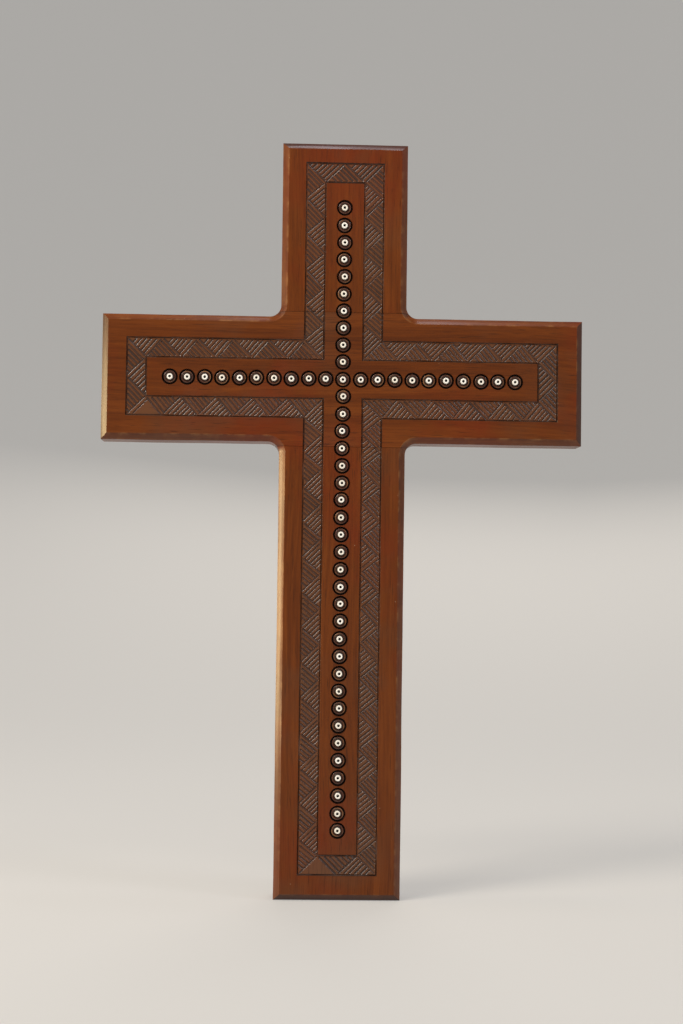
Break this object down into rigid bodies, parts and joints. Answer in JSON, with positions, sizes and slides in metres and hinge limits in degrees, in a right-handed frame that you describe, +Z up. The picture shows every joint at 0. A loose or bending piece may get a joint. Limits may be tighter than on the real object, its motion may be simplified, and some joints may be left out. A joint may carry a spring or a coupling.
{
  "type": "altar cross",
  "caption": "Flat Latin cross of two half-lapped wooden boards with chamfered edges, filleted inner corners and a row of beads set along each board.",
  "frame": {"origin": "centre of the crossing, on the flat back face", "axes": "+Z up the upright, +X to the right seen from the front, +Y out of the back, so the front faces -Y"},
  "size_m": [0.204, 0.0188, 0.32],
  "materials": {
    "varnished_wood": "dark stain under satin varnish, grain along each board",
    "white_glass": "opaque white glass, fire-polished"
  },
  "bodies": {
    "root": {"upright": "varnished_wood", "crossbar": "varnished_wood", "bead_centre": "white_glass", "bead_top_01": "white_glass", "bead_top_02": "white_glass", "bead_top_03": "white_glass", "bead_top_04": "white_glass", "bead_top_05": "white_glass", "bead_top_06": "white_glass", "bead_top_07": "white_glass", "bead_top_08": "white_glass", "bead_top_09": "white_glass", "bead_top_10": "white_glass", "bead_shaft_01": "white_glass", "bead_shaft_02": "white_glass", "bead_shaft_03": "white_glass", "bead_shaft_04": "white_glass", "bead_shaft_05": "white_glass", "bead_shaft_06": "white_glass", "bead_shaft_07": "white_glass", "bead_shaft_08": "white_glass", "bead_shaft_09": "white_glass", "bead_shaft_10": "white_glass", "bead_shaft_11": "white_glass", "bead_shaft_12": "white_glass", "bead_shaft_13": "white_glass", "bead_shaft_14": "white_glass", "bead_shaft_15": "white_glass", "bead_shaft_16": "white_glass", "bead_shaft_17": "white_glass", "bead_shaft_18": "white_glass", "bead_shaft_19": "white_glass", "bead_shaft_20": "white_glass", "bead_shaft_21": "white_glass", "bead_shaft_22": "white_glass", "bead_shaft_23": "white_glass", "bead_shaft_24": "white_glass", "bead_shaft_25": "white_glass", "bead_shaft_26": "white_glass", "bead_left_01": "white_glass", "bead_left_02": "white_glass", "bead_left_03": "white_glass", "bead_left_04": "white_glass", "bead_left_05": "white_glass", "bead_left_06": "white_glass", "bead_left_07": "white_glass", "bead_left_08": "white_glass", "bead_left_09": "white_glass", "bead_left_10": "white_glass", "bead_right_01": "white_glass", "bead_right_02": "white_glass", "bead_right_03": "white_glass", "bead_right_04": "white_glass", "bead_right_05": "white_glass", "bead_right_06": "white_glass", "bead_right_07": "white_glass", "bead_right_08": "white_glass", "bead_right_09": "white_glass", "bead_right_10": "white_glass"}
  },
  "joints": []
}
